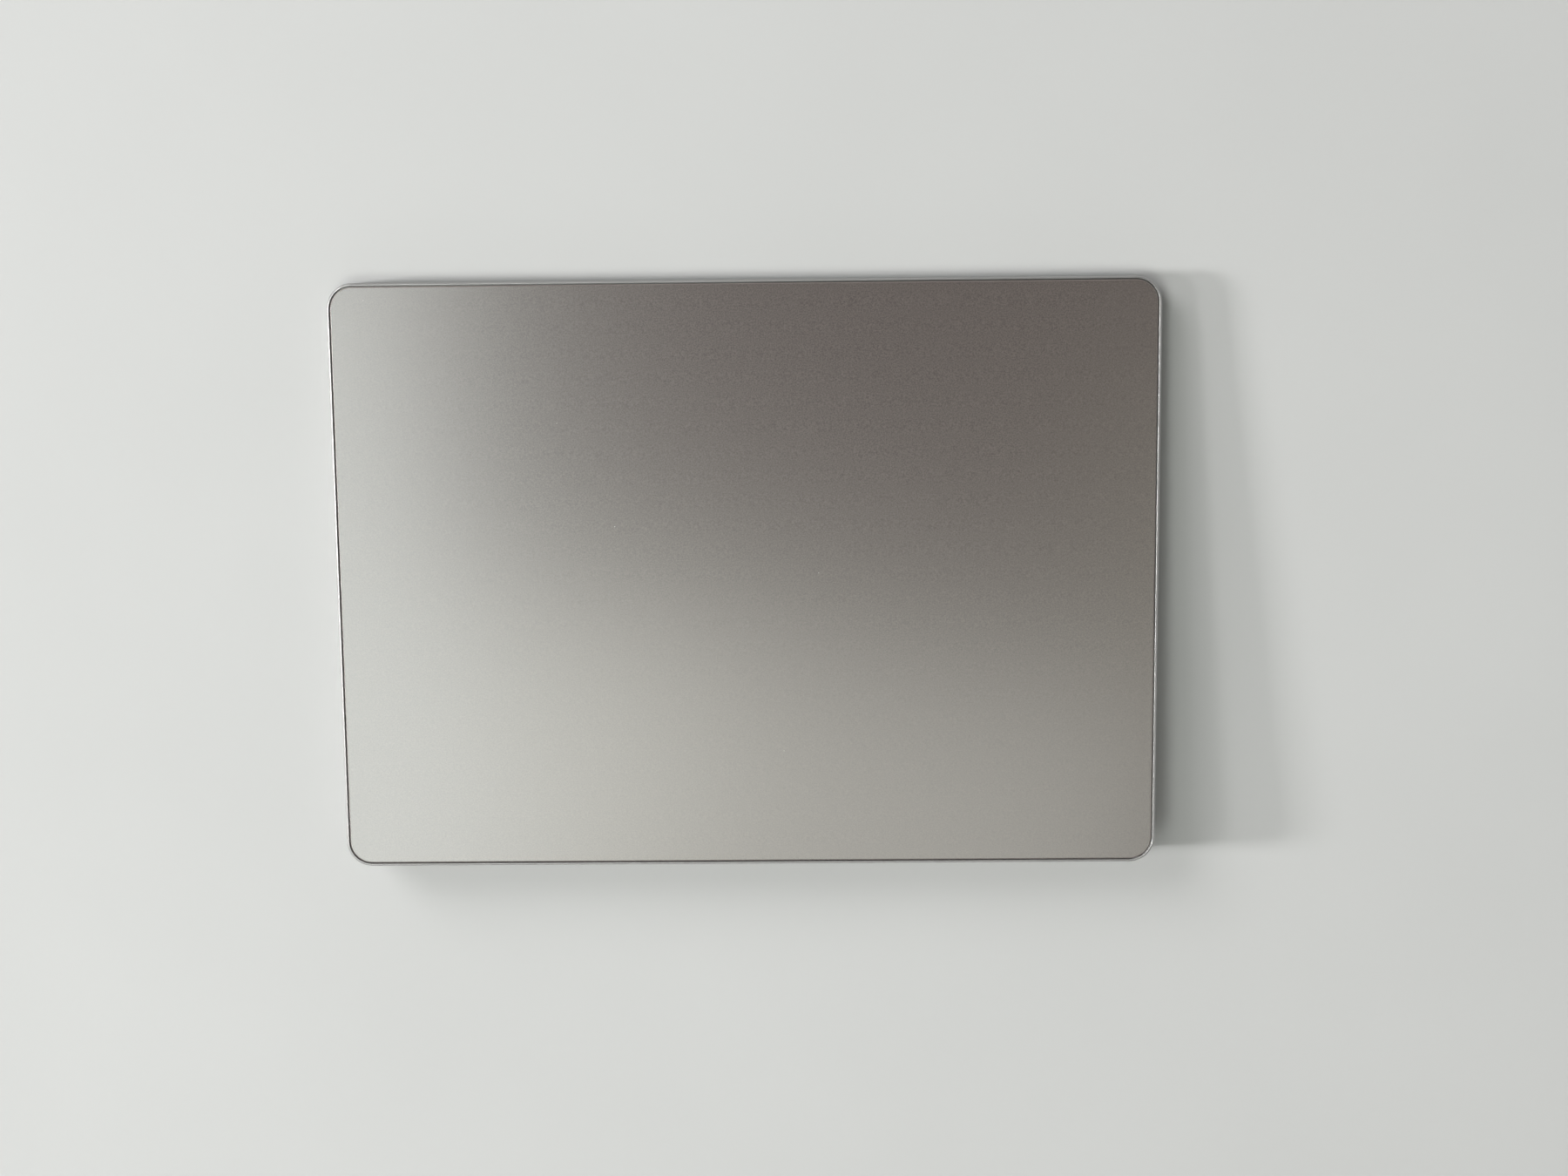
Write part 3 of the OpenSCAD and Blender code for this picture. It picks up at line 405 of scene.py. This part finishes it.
MATERIALS = {
    "anodised_shell": anodised("anodised_shell", (0.225, 0.222, 0.220)),
    "frosted_glass": frosted_glass(),
    "cover_plastic": moulded("cover_plastic", (0.195, 0.193, 0.191), 0.52),
    "foot_rubber": moulded("foot_rubber", (0.075, 0.075, 0.075), 0.72, 0.4, 0.04),
    "seal_foam": moulded("seal_foam", (0.012, 0.012, 0.012), 0.80, 0.3, 0.05),
    "bond_film": clear_gel("bond_film", (0.55, 0.60, 0.63)),
    "gel": clear_gel("gel", (0.34, 0.46, 0.53)),
    "spring_steel": rolled_metal("spring_steel", (0.58, 0.58, 0.58)),
    "gauge_film": film("gauge_film", (0.52, 0.21, 0.03)),
    "core_iron": rolled_metal("core_iron", (0.10, 0.10, 0.11), 0.48),
    "bobbin_plastic": moulded("bobbin_plastic", (0.70, 0.68, 0.61), 0.45, 0.15, 0.01),
    "coil_copper": wound_copper(),
    "battery_pouch": pouch(),
    "glue_strip": clear_gel("glue_strip", (0.62, 0.46, 0.18)),
    "tin_can": rolled_metal("tin_can", (0.62, 0.62, 0.63), 0.28),
    "socket_plastic": moulded("socket_plastic", (0.70, 0.66, 0.55), 0.45, 0.15, 0.01),
    "port_steel": rolled_metal("port_steel", (0.50, 0.50, 0.51), 0.25),
    "port_plastic": moulded("port_plastic", (0.012, 0.012, 0.012), 0.45, 0.12, 0.01),
    "gold_plate": rolled_metal("gold_plate", (0.75, 0.48, 0.12), 0.22),
    "slider_plastic": anodised("slider_plastic", (0.225, 0.222, 0.220), 0.32),
    "circuit_board": circuit_board(),
    "chip_black": chip(),
    "passive_ceramic": fired_ceramic(),
    "flex_film": film("flex_film", (0.46, 0.17, 0.025)),
    "screw_steel": rolled_metal("screw_steel", (0.30, 0.30, 0.31), 0.30),
}


# Help with meshes
def welded(node):
    """A node's mesh with its split corners joined and its flat faces made whole."""
    bm = bmesh.new()
    bm.from_mesh(NODES[node].data)
    bmesh.ops.remove_doubles(bm, verts=bm.verts, dist=WELD * MM)
    bmesh.ops.dissolve_limit(bm, angle_limit=math.radians(FLAT), verts=bm.verts, edges=bm.edges)
    return bm


def middle(edge):
    return (edge.verts[0].co + edge.verts[1].co) / 2


def depth_mm(edge):
    """How deep below the touch face an edge lies."""
    return -(TO_PAD @ middle(edge)).z / MM


def behind_mm(edge):
    """How far an edge lies inside the plane of the rear wall's outer face."""
    return PAD_D / 2 - (TO_PAD @ middle(edge)).y / MM


def height_mm(edge):
    return middle(edge).z / MM


def is_steep(edge):
    return edge.calc_face_angle() > math.radians(STEEP)


def everywhere(edge):
    return True


def round_edges(bm, width_mm, choose=everywhere, segments=3, least_angle=25):
    """Rounds the chosen edges that are sharper than the least angle, in degrees."""
    least = math.radians(least_angle)
    edges = [e for e in bm.edges if e.is_manifold and e.calc_face_angle() > least and choose(e)]
    bmesh.ops.bevel(bm, geom=edges, offset=width_mm * MM, offset_type="OFFSET", affect="EDGES",
                    segments=segments, profile=0.5, clamp_overlap=True)


def add_piece(name, bm, body, slot, material=None):
    mesh = bpy.data.meshes.new(name)
    bm.to_mesh(mesh)
    bm.free()
    mesh.shade_smooth()
    mesh.set_sharp_from_angle(angle=math.radians(SHARP))
    mesh.materials.append(material or MATERIALS[slot])
    piece = bpy.data.objects.new(name, mesh)
    bpy.context.scene.collection.objects.link(piece)
    piece.modifiers.new("even_normals", "WEIGHTED_NORMAL").keep_sharp = True
    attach(piece, body)
    return piece


def stand_in(name, node, bm):
    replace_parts(add_piece(name, bm, BODY_OF[node], SLOT_OF[node]), node)


def stand_in_eased(name, node, width_mm, choose=everywhere, segments=3):
    """Replaces a node by its own mesh with the chosen edges rounded."""
    bm = welded(node)
    round_edges(bm, width_mm, choose, segments)
    stand_in(name, node, bm)


def boxes(node):
    """The lowest and highest corners of each loose part of a node, in millimetres in the pad's frame."""
    bm = welded(node)
    seen = set()
    found = []
    for start in bm.verts:
        if start in seen:
            continue
        seen.add(start)
        reached = [start]
        for vert in reached:
            for edge in vert.link_edges:
                other = edge.other_vert(vert)
                if other not in seen:
                    seen.add(other)
                    reached.append(other)
        places = [TO_PAD @ vert.co / MM for vert in reached]
        low = Vector(min(place[axis] for place in places) for axis in range(3))
        high = Vector(max(place[axis] for place in places) for axis in range(3))
        found.append((low, high))
    bm.free()
    return found


def skin(bm, rings, closed=False):
    """Joins rings of points, in millimetres in the pad's frame, and gives the faces band by band."""
    loops = [[bm.verts.new(FROM_PAD @ (Vector(point) * MM)) for point in ring] for ring in rings]
    pairs = list(zip(loops, loops[1:]))
    if closed:
        pairs.append((loops[-1], loops[0]))
    bands = []
    for near, far in pairs:
        after = near[1:] + near[:1]
        far_after = far[1:] + far[:1]
        bands.append([bm.faces.new(corners) for corners in zip(near, after, far_after, far)])
    if not closed:
        bm.faces.new(loops[0])
        bm.faces.new(loops[-1])
    bmesh.ops.recalc_face_normals(bm, faces=bm.faces)
    return bands


# Pieces that show
def mark_painted_gap_light(bm):
    """Marks the wall inside the rim, which is painted pale as painted light in the gap round the glass.
    """
    painted_gap_light = bm.faces.layers.float.new("painted_gap_light")
    turn = TO_PAD.to_3x3()
    for face in bm.faces:
        centre = TO_PAD @ face.calc_center_median()
        way = turn @ face.normal
        is_wall = abs(way.z) < 0.5
        is_inward = centre.x * way.x + centre.y * way.y < 0
        if centre.z > -LIP_DEPTH * MM and is_wall and is_inward:
            face[painted_gap_light] = 1.0


def goes_round_opening(edge):
    """Whether an edge goes round an opening in the rear wall's outer face."""
    clear = min(depth_mm(edge), height_mm(edge)) > OPENING_MARGIN
    return clear and behind_mm(edge) < NEAR


def make_shell():
    bm = welded("enclosure")
    round_edges(bm, RIM_EASE, lambda e: depth_mm(e) < RIM_CHAMFER + NEAR and not is_steep(e))
    round_edges(bm, LIP_EASE, lambda e: abs(depth_mm(e)) < NEAR and is_steep(e))
    round_edges(bm, BASE_EASE, lambda e: height_mm(e) < FOOT_H + NEAR)
    round_edges(bm, OPENING_EASE, goes_round_opening)
    # Marks the wall inside the rim, which takes painted light
    mark_painted_gap_light(bm)
    stand_in("shell", "enclosure", bm)


def make_glass():
    bm = welded("glass_surface")
    round_edges(bm, GLASS_EASE, lambda e: depth_mm(e) < GLASS_CHAMFER + NEAR)
    round_edges(bm, GLASS_BACK_EASE, lambda e: depth_mm(e) > GLASS_T - NEAR, 2)
    stand_in("touch_glass", "glass_surface", bm)


def make_base():
    stand_in_eased("bottom_cover", "base_cover", COVER_EASE, lambda e: height_mm(e) < FOOT_H + NEAR)
    stand_in_eased("foot_pads", "rubber_feet", FOOT_EASE)


def make_rear_fittings():
    stand_in_eased("socket_shell", "port_shell", SOCKET_EASE)
    stand_in_eased("socket_tongue", "port_tongue", SOCKET_EASE, lambda e: behind_mm(e) < TONGUE_END)
    stand_in_eased("socket_contacts", "port_contacts", CONTACT_EASE, segments=2)
    stand_in_eased("switch_slider", "power_slider", SLIDER_EASE, segments=2)


def make_on_mark():
    """A green patch on the slider's hidden end, which shows in the slot when the switch is on."""
    low, high = boxes("power_slider")[0]
    centre = (low + high) / 2
    round_x = low.x + (high.z - low.z) / 2
    front = PAD_D / 2 - WALL_T - SLIDE_FIT
    outline = [(centre.x - MARK_END, centre.z + MARK_R), (centre.x - MARK_END, centre.z - MARK_R)]
    for step in range(MARK_STEPS + 1):
        angle = math.pi * (1.5 - step / MARK_STEPS)
        outline.append((round_x + MARK_R * math.cos(angle), centre.z + MARK_R * math.sin(angle)))
    bm = bmesh.new()
    skin(bm, [[(x, y, z) for x, z in outline] for y in (front - MARK_T / 2, front + MARK_T)])
    paint = moulded("mark_paint", (0.03, 0.40, 0.09), 0.42, 0.2, 0.005)
    add_piece("on_mark", bm, BODY_OF["power_slider"], SLOT_OF["power_slider"], paint)


# Pieces inside, each within the space of its node
def rounded_loop(half_x, half_z, radius, steps=4):
    """Points round a rounded rectangle, each with the way out from it."""
    points = []
    for corner, (side_x, side_z) in enumerate(((1, 1), (-1, 1), (-1, -1), (1, -1))):
        for step in range(steps + 1):
            angle = math.pi / 2 * (corner + step / steps)
            out_x, out_z = math.cos(angle), math.sin(angle)
            at_x = side_x * (half_x - radius) + radius * out_x
            at_z = side_z * (half_z - radius) + radius * out_z
            points.append((at_x, at_z, out_x, out_z))
    return points


def wind_coil(bm, low, high):
    """One unbroken layer of wire over a plain core."""
    centre = (low + high) / 2
    half = (high - low) / 2
    turn = rounded_loop(half.x - WIRE_R, half.z - WIRE_R, WIRE_BEND_R)
    count = len(turn) * WIRE_TURNS
    rise = 2 * (half.y - WIRE_R) / count
    rings = []
    for step in range(count + 1):
        x, z, out_x, out_z = turn[step % len(turn)]
        middle = Vector((centre.x + x, low.y + WIRE_R + rise * step, centre.z + z))
        ring = []
        for side in range(WIRE_SIDES):
            angle = math.tau * side / WIRE_SIDES
            reach = WIRE_R * math.cos(angle)
            ring.append(middle + Vector((reach * out_x, WIRE_R * math.sin(angle), reach * out_z)))
        rings.append(ring)
    skin(bm, rings)
    core = []
    for side_x, side_z in ((1, 1), (-1, 1), (-1, -1), (1, -1)):
        ring = []
        for inset, y in ((CORE_INSET, low.y), (CORE_INSET, high.y), (COIL_T, high.y), (COIL_T, low.y)):
            ring.append((centre.x + side_x * (half.x - inset), y, centre.z + side_z * (half.z - inset)))
        core.append(ring)
    skin(bm, core, closed=True)


def make_coils():
    bm = bmesh.new()
    for low, high in boxes("haptic_coils"):
        wind_coil(bm, low, high)
    stand_in("wound_coils", "haptic_coils", bm)


def make_pouch():
    """A foil pouch: a crowned body inside a thin pressed seam."""
    low, high = boxes("battery_cell")[0]
    centre = (low + high) / 2
    half = (high - low) / 2
    seam = SEAM_T / half.z
    swell = POUCH_SWELL + [(SEAM_W, seam), (0, seam)]
    rings = []
    for side, steps in ((-1, swell), (1, swell[::-1])):
        for inset, share in steps:
            loop = rounded_loop(half.x - inset, half.y - inset, max(POUCH_R - inset, POUCH_LEAST_R))
            z = centre.z + side * share * half.z
            rings.append([(centre.x + x, centre.y + y, z) for x, y, _, _ in loop])
    bm = bmesh.new()
    skin(bm, rings)
    stand_in("foil_pouch", "battery_cell", bm)


def add_capped(bm, cap, low, high):
    """A small part with a marked metal cap on each end and a slightly thinner middle."""
    sides = high - low
    along = max(range(3), key=lambda axis: sides[axis])
    wide, tall = [axis for axis in range(3) if axis != along]
    rings = []
    near, far = CAP_SHARE, 1 - CAP_SHARE
    for share, thin in ((0, 0), (near, 0), (near, 1), (far, 1), (far, 0), (1, 0)):
        ring = []
        for at_wide, at_tall in ((0, 0), (1, 0), (1, 1), (0, 1)):
            point = Vector()
            point[along] = low[along] + share * sides[along]
            point[wide] = low[wide] + at_wide * sides[wide] + thin * CAP_STEP * (1 - 2 * at_wide)
            point[tall] = low[tall] + at_tall * sides[tall] + thin * CAP_STEP * (1 - 2 * at_tall)
            ring.append(point)
        rings.append(ring)
    old = set(bm.faces)
    middle = set(skin(bm, rings)[2])
    for face in bm.faces:
        if face not in old and face not in middle:
            face[cap] = 1.0


def make_passives():
    for name, node in (("sensor_chip_parts", "sensor_passives"), ("board_chip_parts", "board_passives")):
        bm = bmesh.new()
        cap = bm.faces.layers.float.new("cap")
        for low, high in boxes(node):
            add_capped(bm, cap, low, high)
        round_edges(bm, CAP_EASE, lambda e: e.is_convex, 2)
        stand_in(name, node, bm)


def cut_drives(bm):
    """Cuts a lobed drive into the top of each screw head."""
    least = HEAD_AREA * MM * MM
    heads = [face for face in bm.faces if face.calc_area() > least and len(face.verts) > HEAD_CORNERS]
    for head in heads:
        centre = head.calc_center_median()
        out = head.normal.copy()
        side = (head.verts[0].co - centre).normalized()
        across = out.cross(side)
        rim = list(head.edges)
        bm.faces.remove(head)
        tops = []
        for step in range(DRIVE_POINTS):
            angle = math.tau * step / DRIVE_POINTS
            reach = (DRIVE_R + DRIVE_LOBE * math.cos(DRIVE_LOBES * angle)) * MM
            way = side * math.cos(angle) + across * math.sin(angle)
            tops.append(bm.verts.new(centre + way * reach))
        floors = [bm.verts.new(top.co - out * DRIVE_DEPTH * MM) for top in tops]
        ring = [bm.edges.new(pair) for pair in zip(tops, tops[1:] + tops[:1])]
        bmesh.ops.bridge_loops(bm, edges=rim + ring)
        for corners in zip(tops, tops[1:] + tops[:1], floors[1:] + floors[:1], floors):
            bm.faces.new(corners)
        bm.faces.new(floors)
    bmesh.ops.recalc_face_normals(bm, faces=bm.faces)


def make_screws():
    for node in ("cover_screws", "flexure_screws", "bracket_screws", "board_screws"):
        bm = welded(node)
        round_edges(bm, SCREW_EASE)
        cut_drives(bm)
        stand_in(node.replace("screws", "lobe_screws"), node, bm)


def make_rounded():
    for node, width in ROUNDED.items():
        stand_in_eased(node + ".eased", node, width, segments=2)


# Stage and light, with places and sizes in metres
HORIZON, ZENITH = (0.60, 0.60, 0.60, 1.0), (0.05, 0.05, 0.05, 1.0)
# How far up the sky has its darkest colour, where 0 is the horizon and 1 straight overhead
ZENITH_FROM = 0.75
FLOOR_HALF = 40.0
# How far off the floor starts to take the horizon's colour and has it wholly, and what counts as 1
FADE_START, FADE_END, FADE_UNIT = 0.30, 1.20, 2.0

# Lights that stand round the pad and face it: their place, size and radiance
ROUND_LIGHTS = {
    "low_key": ((2.46, 0.05, 0.85), (0.30, 0.30), 208.0),
    "left_key": ((2.15, 0.07, 1.45), (0.30, 0.30), 50.0),
    "far_key": ((1.60, -1.45, 1.30), (1.20, 1.20), 8.0),
    "right_fill": ((-1.80, 0.30, 0.45), (1.50, 0.80), 0.7),
    "rear_fill": ((0.30, 1.80, 0.45), (1.20, 0.80), 0.7),
}


def floor_paint():
    """Pale paint that goes over into the colour of the horizon far from the pad."""
    n = Nodes("floor_paint")
    tint = n.mix(n.span(n.noise(60, 2), 0.0, 1.0), (0.51, 0.51, 0.505), (0.54, 0.54, 0.535))
    n.surface(tint, 0.75, Specular_IOR_Level=0.2)
    away = n.tree.nodes.new("ShaderNodeVectorMath")
    away.operation = "LENGTH"
    n.link(n.place, away.inputs[0])
    share = n.math("DIVIDE", away.outputs["Value"], FADE_UNIT)
    far = n.ramp(share, (FADE_START / FADE_UNIT, 0.0), (FADE_END / FADE_UNIT, 1.0))
    ray = n.tree.nodes.new("ShaderNodeLightPath")
    seen = n.math("MAXIMUM", ray.outputs["Is Camera Ray"], ray.outputs["Is Glossy Ray"])
    glow = n.tree.nodes.new("ShaderNodeEmission")
    glow.inputs["Color"].default_value = HORIZON
    blend = n.tree.nodes.new("ShaderNodeMixShader")
    n.link(n.math("MULTIPLY", far, seen), blend.inputs["Fac"])
    n.link(n.shader.outputs["BSDF"], blend.inputs[1])
    n.link(glow.outputs["Emission"], blend.inputs[2])
    n.link(blend.outputs["Shader"], n.tree.nodes["Material Output"].inputs["Surface"])
    return n.material


def make_floor():
    mesh = bpy.data.meshes.new("floor")
    sides = ((-1, -1), (1, -1), (1, 1), (-1, 1))
    corners = [(FLOOR_HALF * x, FLOOR_HALF * y, 0) for x, y in sides]
    mesh.from_pydata(corners, [], [range(len(corners))])
    mesh.materials.append(floor_paint())
    floor = bpy.data.objects.new("floor", mesh)
    bpy.context.scene.collection.objects.link(floor)


def area_light(name, at, size, radiance, aim=(0, 0, 0), roll=0.0, color=(1, 1, 1)):
    data = bpy.data.lights.new(name, "AREA")
    data.shape = "RECTANGLE"
    data.size, data.size_y = size
    data.energy = radiance * math.pi * size[0] * size[1]
    data.color = color
    light = bpy.data.objects.new(name, data)
    bpy.context.scene.collection.objects.link(light)
    turn = (Vector(aim) - Vector(at)).to_track_quat("-Z", "Y").to_matrix().to_4x4()
    light.matrix_world = Matrix.Translation(at) @ turn @ Matrix.Rotation(roll, 4, "Z")
    light.visible_camera = False


def make_panels():
    """Panels that face straight down, whose edges the plate mirrors as one soft slanted sheen."""
    width, height = 0.30, 1.0
    left_length, near_length, near_y = 0.74, 0.31, 0.268
    left_slant, near_slant = 0.10, -0.178
    left_tint, near_tint, right_tint = (0.950, 1.0, 0.955), (0.965, 0.99, 0.90), (0.97, 1.0, 0.78)
    down = Vector((0, 0, -1))
    left = Vector((0.368, 0.11, height))
    area_light("left_panel", left, (width, left_length), 5.5, left + down, left_slant, left_tint)
    near_turn = Matrix.Rotation(near_slant, 3, "Z")
    for name, x, radiance in (("near_left_panel", 0.175, 4.1), ("near_right_panel", -0.135, 2.65)):
        near = near_turn @ Vector((x, near_y, height))
        area_light(name, near, (near_length, width), radiance, near + down, near_slant, near_tint)
    right = Vector((-0.36, 0.10, height))
    area_light("right_panel", right, (width, width), 0.75, right + down, color=right_tint)


def make_lights():
    make_panels()
    for name, (at, size, radiance) in ROUND_LIGHTS.items():
        area_light(name, at, size, radiance)


def make_world():
    """A dim sky over pale walls: bright at the horizon, dark overhead."""
    world = bpy.data.worlds.new("studio")
    bpy.context.scene.world = world
    world.use_nodes = True
    tree = world.node_tree
    split = tree.nodes.new("ShaderNodeSeparateXYZ")
    tree.links.new(tree.nodes.new("ShaderNodeTexCoord").outputs["Generated"], split.inputs[0])
    ramp = tree.nodes.new("ShaderNodeValToRGB")
    tree.links.new(split.outputs["Z"], ramp.inputs["Fac"])
    walls, sky = ramp.color_ramp.elements
    walls.position, walls.color = 0.0, HORIZON
    sky.position, sky.color = ZENITH_FROM, ZENITH
    tree.links.new(ramp.outputs["Color"], tree.nodes["Background"].inputs["Color"])


make_camera()
make_shell()
make_glass()
make_base()
make_rear_fittings()
make_on_mark()
make_rounded()
make_coils()
make_pouch()
make_passives()
make_screws()
make_floor()
make_lights()
make_world()
bpy.context.scene.view_settings.view_transform = "Standard"

bpy.context.view_layer.update()
